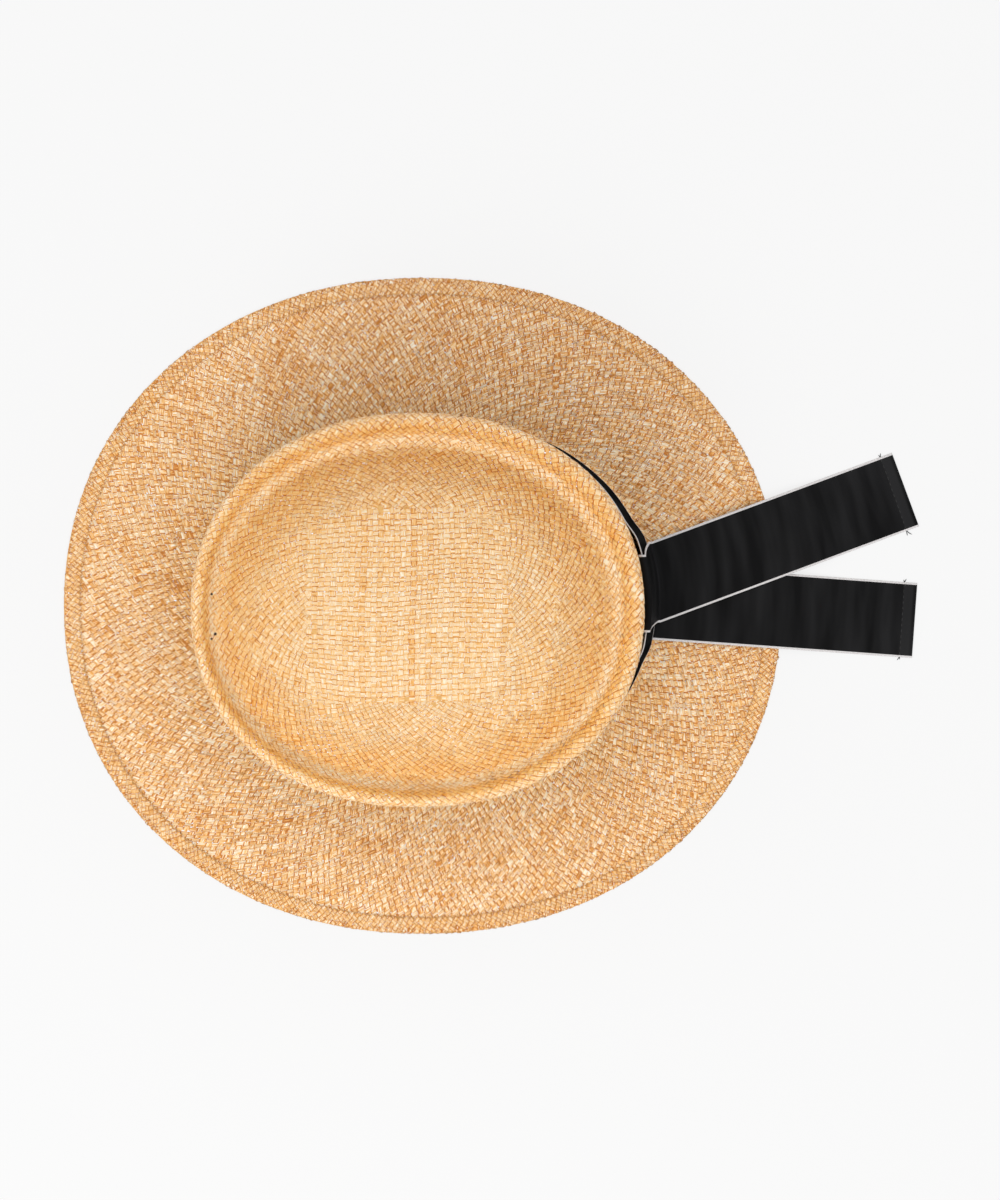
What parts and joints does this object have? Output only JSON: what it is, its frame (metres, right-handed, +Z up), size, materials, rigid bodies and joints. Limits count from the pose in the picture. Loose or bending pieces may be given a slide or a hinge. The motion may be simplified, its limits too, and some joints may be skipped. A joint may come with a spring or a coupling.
{
  "type": "boater hat",
  "caption": "Oval woven straw hat with a low flat crown, a groove inside its rim, a wide brim with a folded hem, and a ribbon band with a streamer lying on the brim at the back.",
  "frame": {"origin": "middle of the footprint, brim and streamer together, on the surface that the hat rests on", "axes": "+X towards the back of the hat, where the streamer lies; +Y to the side; +Z up through the crown"},
  "size_m": [0.3914, 0.3002, 0.09],
  "materials": {
    "straw": "natural straw in plain weave, soft sheen",
    "ribbon": "black satin ribbon with pale woven edges"
  },
  "bodies": {
    "root": {"straw_body": "straw", "ribbon_band": "ribbon", "ribbon_streamer": "ribbon"}
  },
  "joints": []
}
